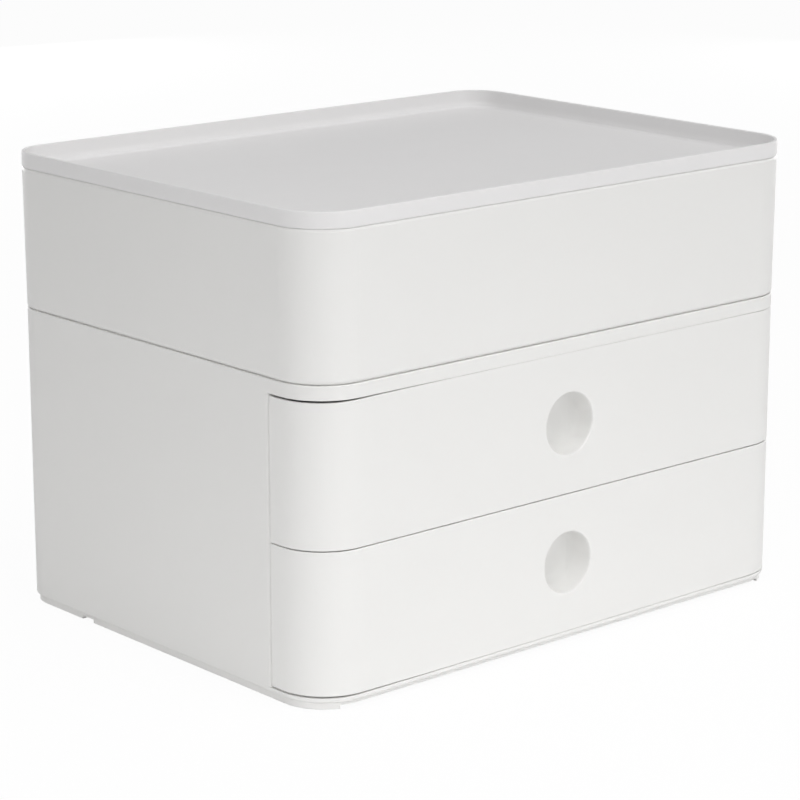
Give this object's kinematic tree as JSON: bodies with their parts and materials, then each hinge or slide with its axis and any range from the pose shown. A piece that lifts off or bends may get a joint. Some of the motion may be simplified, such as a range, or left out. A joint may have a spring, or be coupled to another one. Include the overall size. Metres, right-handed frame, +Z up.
{
  "type": "desk file box with drawers",
  "caption": "White desk file box in stacked levels: a cabinet with wrap-front drawers and round finger cups, an open utensil box above it, and a lid that is a shallow tray.",
  "frame": {"origin": "middle of the footprint, on the surface that the box stands on", "axes": "+Z up; -Y towards the drawer fronts, which slide out along -Y; +X to the right as seen from the front"},
  "size_m": [0.26, 0.195, 0.19],
  "materials": {
    "housing": "satin white",
    "drawer": "satin white",
    "box": "satin white",
    "lid": "satin white",
    "foot_pad": "matt grey"
  },
  "bodies": {
    "cabinet": {"housing": "housing", "foot_pad_front_left": "foot_pad", "foot_pad_front_right": "foot_pad", "foot_pad_rear_left": "foot_pad", "foot_pad_rear_right": "foot_pad"},
    "drawer_upper": {"drawer_upper": "drawer"},
    "drawer_lower": {"drawer_lower": "drawer"},
    "utensil_box": {"utensil_box": "box"},
    "lid": {"lid_tray": "lid"}
  },
  "joints": [
    {"name": "drawer_upper_slide", "type": "slide", "parent": "cabinet", "child": "drawer_upper", "axis": [0, -1, 0], "range_m": [0, 0.141]},
    {"name": "drawer_lower_slide", "type": "slide", "parent": "cabinet", "child": "drawer_lower", "axis": [0, -1, 0], "range_m": [0, 0.141]},
    {"name": "utensil_box_lift", "type": "slide", "parent": "cabinet", "child": "utensil_box", "axis": [0, 0, 1], "range_m": [0, 0.06]},
    {"name": "lid_lift", "type": "slide", "parent": "utensil_box", "child": "lid", "axis": [0, 0, 1], "range_m": [0, 0.08]}
  ]
}
